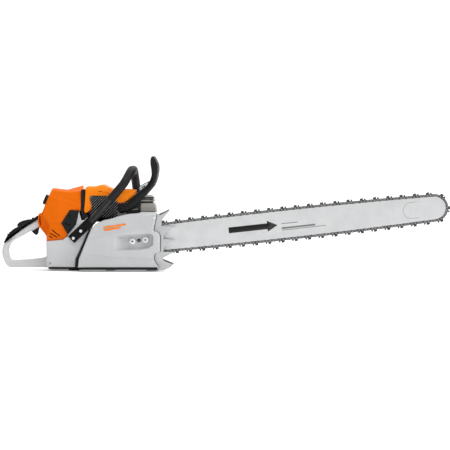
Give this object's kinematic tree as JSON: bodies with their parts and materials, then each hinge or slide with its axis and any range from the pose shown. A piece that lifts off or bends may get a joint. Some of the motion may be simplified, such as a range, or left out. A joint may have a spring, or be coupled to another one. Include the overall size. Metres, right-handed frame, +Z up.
{
  "type": "chainsaw",
  "caption": "Heavy professional chainsaw with a long roller-nose guide bar, wrap handle, hand guard and closed rear handle.",
  "frame": {"origin": "on the ground plane, straight below the crankshaft axis in the cylinder's mid-plane", "axes": "+X toward the bar nose, the guide bar is on the -Y side, the starter on the +Y side, +Z up"},
  "size_m": [1.394, 0.2503, 0.3565],
  "materials": {
    "cast_magnesium": "satin painted casting",
    "bare_alloy": "as cast",
    "orange_shell": "semi-gloss moulded",
    "black_shell": "fine grained moulded",
    "black_fins": "black heat-resistant paint",
    "black_paint": "black powder coat",
    "rubber": "matt",
    "bright_steel": "fine ground",
    "dark_steel": "oiled",
    "plated_steel": "zinc plated",
    "exhaust_steel": "heat-resistant grey",
    "filter_fleece": "felted"
  },
  "bodies": {
    "frame": {"crankcase_right": "cast_magnesium", "crankcase_left": "cast_magnesium", "main_bearings": "bright_steel", "cylinder": "black_fins", "spark_plug": "plated_steel", "plug_lead": "rubber", "ignition_module": "black_shell", "muffler": "exhaust_steel", "carburettor": "bare_alloy", "intake_boot": "rubber", "air_filter": "filter_fleece", "filter_cover": "orange_shell", "side_panel": "black_shell", "top_shroud": "orange_shell", "shroud_partition": "black_shell", "tank_housing": "cast_magnesium", "grip_cover": "black_shell", "handle_tube": "black_paint", "handle_sleeve": "rubber", "handle_bracket": "black_paint", "starter_cover": "cast_magnesium", "starter_rope": "rubber", "oil_pump": "bare_alloy", "brake_band": "bright_steel", "bar_studs": "plated_steel", "bar_nuts": "plated_steel", "clutch_cover": "cast_magnesium", "outer_spikes": "bright_steel", "inner_spikes": "bright_steel", "av_buffers": "rubber", "gap_seal": "rubber", "base_pad": "rubber", "case_screws": "plated_steel"},
    "crank": {"crankshaft": "bright_steel", "flywheel": "bare_alloy", "clutch_hub": "dark_steel", "clutch_shoes": "dark_steel"},
    "piston_group": {"piston": "bare_alloy", "wrist_pin": "bright_steel", "connecting_rod": "bright_steel"},
    "drum": {"clutch_drum": "dark_steel", "rim_sprocket": "bright_steel"},
    "bar": {"guide_bar": "bright_steel", "chain_cutters": "dark_steel", "chain_drive_links": "dark_steel", "chain_tie_straps": "dark_steel", "chain_rivets": "dark_steel", "tensioner_pin": "bright_steel"},
    "nose_wheel": {"nose_sprocket": "bright_steel"},
    "adjuster": {"tensioner_screw": "plated_steel"},
    "trigger": {"throttle_trigger": "black_shell"},
    "butterfly": {"throttle_valve": "bright_steel"},
    "lockout": {"throttle_lockout": "black_shell"},
    "mode_lever": {"control_lever": "black_shell"},
    "guard": {"hand_guard": "black_shell"},
    "hood_knob": {"filter_knob": "black_shell"},
    "grip": {"starter_grip": "black_shell"},
    "pulley": {"starter_pulley": "black_shell"},
    "fuel_lid": {"fuel_cap": "black_shell"},
    "oil_lid": {"oil_cap": "black_shell"}
  },
  "joints": [
    {"name": "crank_spin", "type": "hinge", "parent": "frame", "child": "crank", "pos_m": [0, 0, 0.086], "axis": [0, 1, 0], "continuous": true},
    {"name": "piston_stroke", "type": "slide", "parent": "frame", "child": "piston_group", "axis": [0, 0, 1], "range_m": [-0.043, 0]},
    {"name": "drum_spin", "type": "hinge", "parent": "frame", "child": "drum", "pos_m": [0, 0, 0.086], "axis": [0, 1, 0], "continuous": true},
    {"name": "bar_tension", "type": "slide", "parent": "frame", "child": "bar", "axis": [0.994, 0, 0.109], "range_m": [-0.006, 0]},
    {"name": "adjuster_turn", "type": "hinge", "parent": "frame", "child": "adjuster", "pos_m": [0.09145, -0.075, 0.09603], "axis": [0, -1, 0], "range_deg": [-360, 0]},
    {"name": "nose_spin", "type": "hinge", "parent": "bar", "child": "nose_wheel", "pos_m": [1.00398, -0.075, 0.19613], "axis": [0, 1, 0], "continuous": true},
    {"name": "trigger_pull", "type": "hinge", "parent": "frame", "child": "trigger", "pos_m": [-0.23, 0, 0.141], "axis": [0, 1, 0], "range_deg": [0, 14], "stiffness_Nm_per_rad": 0.4, "springref_deg": -11.46},
    {"name": "butterfly_turn", "type": "hinge", "parent": "frame", "child": "butterfly", "pos_m": [-0.112, 0, 0.17], "axis": [0, 1, 0], "range_deg": [0, 70]},
    {"name": "lockout_press", "type": "hinge", "parent": "frame", "child": "lockout", "pos_m": [-0.248, 0, 0.15], "axis": [0, -1, 0], "range_deg": [0, 7], "stiffness_Nm_per_rad": 0.6, "springref_deg": -11.46},
    {"name": "mode_select", "type": "hinge", "parent": "frame", "child": "mode_lever", "pos_m": [-0.242, 0.02, 0.137], "axis": [0, 1, 0], "range_deg": [-25, 25]},
    {"name": "guard_tilt", "type": "hinge", "parent": "frame", "child": "guard", "pos_m": [0.037, 0, 0.192], "axis": [0, 1, 0], "range_deg": [0, 18]},
    {"name": "hood_knob_turn", "type": "hinge", "parent": "frame", "child": "hood_knob", "pos_m": [-0.1964, 0, 0.2172], "axis": [-0.9219, 0, 0.3875], "range_deg": [0, 90]},
    {"name": "starter_pull", "type": "slide", "parent": "frame", "child": "grip", "axis": [0, 0, 1], "range_m": [0, 0.85], "stiffness_N_per_m": 8, "springref_m": -0.3},
    {"name": "pulley_turn", "type": "hinge", "parent": "frame", "child": "pulley", "pos_m": [0, 0, 0.086], "axis": [0, -1, 0], "range_deg": [0, 1680]},
    {"name": "fuel_cap_turn", "type": "hinge", "parent": "frame", "child": "fuel_lid", "pos_m": [-0.15, 0.076, 0.052], "axis": [0, 1, 0], "range_deg": [0, 90]},
    {"name": "oil_cap_turn", "type": "hinge", "parent": "frame", "child": "oil_lid", "pos_m": [0.106, 0.052, 0.052], "axis": [0, 1, 0], "range_deg": [0, 90]}
  ],
  "couplings": [
    {"joint": "nose_spin", "follows": "drum_spin", "ratio": 0.58333},
    {"joint": "butterfly_turn", "follows": "trigger_pull", "ratio": 5},
    {"joint": "pulley_turn", "follows": "starter_pull", "rad_per_m": 34.483},
    {"joint": "adjuster_turn", "follows": "bar_tension", "rad_per_m": 1047.2}
  ]
}
